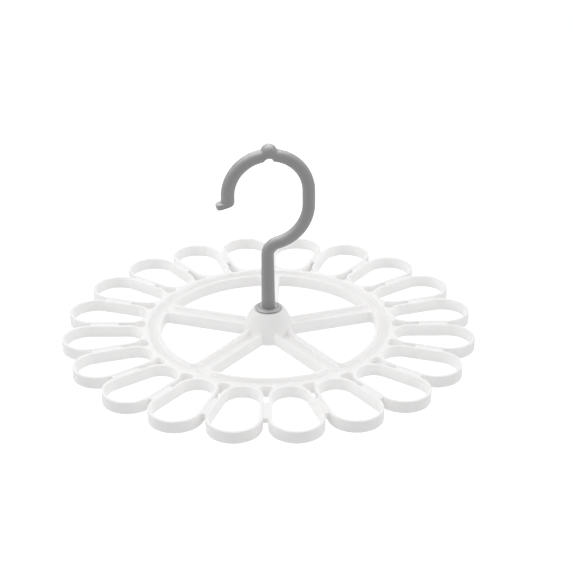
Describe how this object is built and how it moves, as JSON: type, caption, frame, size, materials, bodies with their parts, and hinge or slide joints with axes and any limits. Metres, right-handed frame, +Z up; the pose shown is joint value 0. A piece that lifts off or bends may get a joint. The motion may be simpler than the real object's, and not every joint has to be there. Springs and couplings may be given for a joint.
{
  "type": "round sock drying hanger",
  "caption": "Round sock drying hanger: a flat white wheel of petal loops on a channelled ring and spokes, turning on a grey hook with a groove for a line.",
  "frame": {"origin": "on the swivel axis, at the level of the wheel's underside", "axes": "+Z up along the swivel axis; the hook's plane at rest is turned 10 degrees from XZ with its free end towards -X, as in the picture, which looks along +Y"},
  "size_m": [0.3264, 0.3264, 0.1629],
  "materials": {
    "white_plastic": "smooth satin moulded plastic, white",
    "grey_plastic": "smooth satin moulded plastic, mid grey"
  },
  "bodies": {
    "wheel": {"hub": "white_plastic", "ring": "white_plastic", "spoke_1": "white_plastic", "spoke_2": "white_plastic", "spoke_3": "white_plastic", "spoke_4": "white_plastic", "spoke_5": "white_plastic", "sock_loop_01": "white_plastic", "sock_loop_02": "white_plastic", "sock_loop_03": "white_plastic", "sock_loop_04": "white_plastic", "sock_loop_05": "white_plastic", "sock_loop_06": "white_plastic", "sock_loop_07": "white_plastic", "sock_loop_08": "white_plastic", "sock_loop_09": "white_plastic", "sock_loop_10": "white_plastic", "sock_loop_11": "white_plastic", "sock_loop_12": "white_plastic", "sock_loop_13": "white_plastic", "sock_loop_14": "white_plastic", "sock_loop_15": "white_plastic", "sock_loop_16": "white_plastic", "sock_loop_17": "white_plastic", "sock_loop_18": "white_plastic", "sock_loop_19": "white_plastic", "sock_loop_20": "white_plastic"},
    "hook": {"hook": "grey_plastic"}
  },
  "joints": [
    {"name": "hook_swivel", "type": "hinge", "parent": "wheel", "child": "hook", "pos_m": [0, 0, 0.0245], "axis": [0, 0, 1], "continuous": true}
  ]
}
